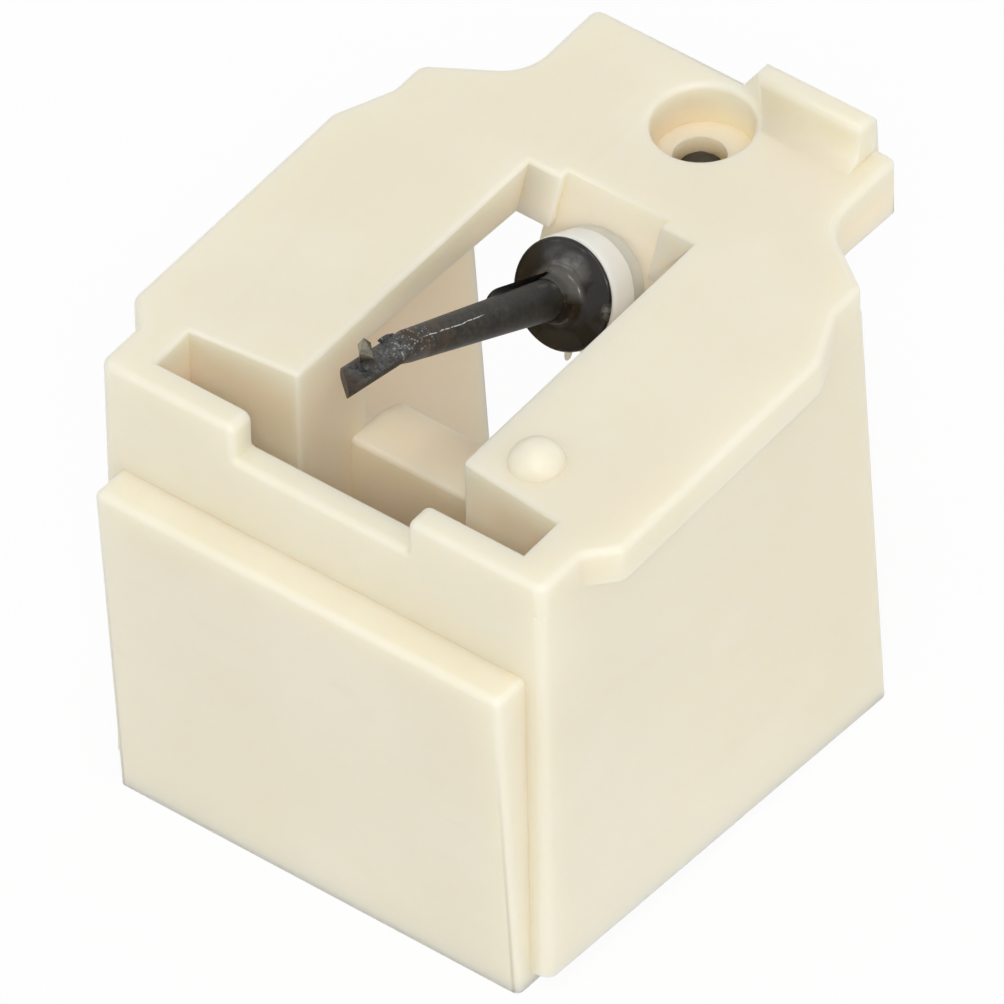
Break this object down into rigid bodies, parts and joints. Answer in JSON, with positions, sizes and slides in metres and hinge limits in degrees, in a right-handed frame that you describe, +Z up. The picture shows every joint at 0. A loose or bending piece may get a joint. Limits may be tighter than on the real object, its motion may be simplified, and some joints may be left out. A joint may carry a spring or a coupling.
{
  "type": "turntable stylus",
  "caption": "Moulded turntable stylus insert with a grip panel, a tapered cantilever sprung in rubber and a faceted diamond tip, slid onto a cartridge.",
  "frame": {"origin": "middle of the outline seen from above, on the plane of the base", "axes": "+Z up from the open base to the stylus tip, +Y back from the grip panel to the neck, +X to the side with the locating pip"},
  "size_m": [0.0116, 0.0138, 0.0128],
  "materials": {
    "cream_plastic": "satin moulding",
    "white_nylon": "smooth",
    "black_rubber": "dull, greasy sheen",
    "black_tube": "black anodised, worn",
    "diamond": "faceted",
    "magnet_metal": "ground",
    "wire_steel": "drawn",
    "stop_brass": "turned",
    "dark_screw": "blackened"
  },
  "bodies": {
    "holder": {"stylus_body": "cream_plastic", "damper_bush": "white_nylon", "set_screw": "dark_screw", "wire_stop": "stop_brass", "tie_wire": "wire_steel"},
    "suspension": {"rubber_damper": "black_rubber"},
    "arm": {"cantilever": "black_tube", "diamond_tip": "diamond", "magnet": "magnet_metal", "joint_pipe": "black_tube"}
  },
  "joints": [
    {"name": "lateral_pivot", "type": "hinge", "parent": "holder", "child": "suspension", "pos_m": [0, 0.00126, 0.00967], "axis": [0, 0.3957, 0.9184], "range_deg": [-3, 3], "stiffness_Nm_per_rad": 0.004, "deforming": ["rubber_damper", "tie_wire"]},
    {"name": "vertical_pivot", "type": "hinge", "parent": "suspension", "child": "arm", "pos_m": [0, 0.00126, 0.00967], "axis": [1, 0, 0], "range_deg": [-4, 4], "stiffness_Nm_per_rad": 0.004, "deforming": ["rubber_damper", "tie_wire"]}
  ]
}
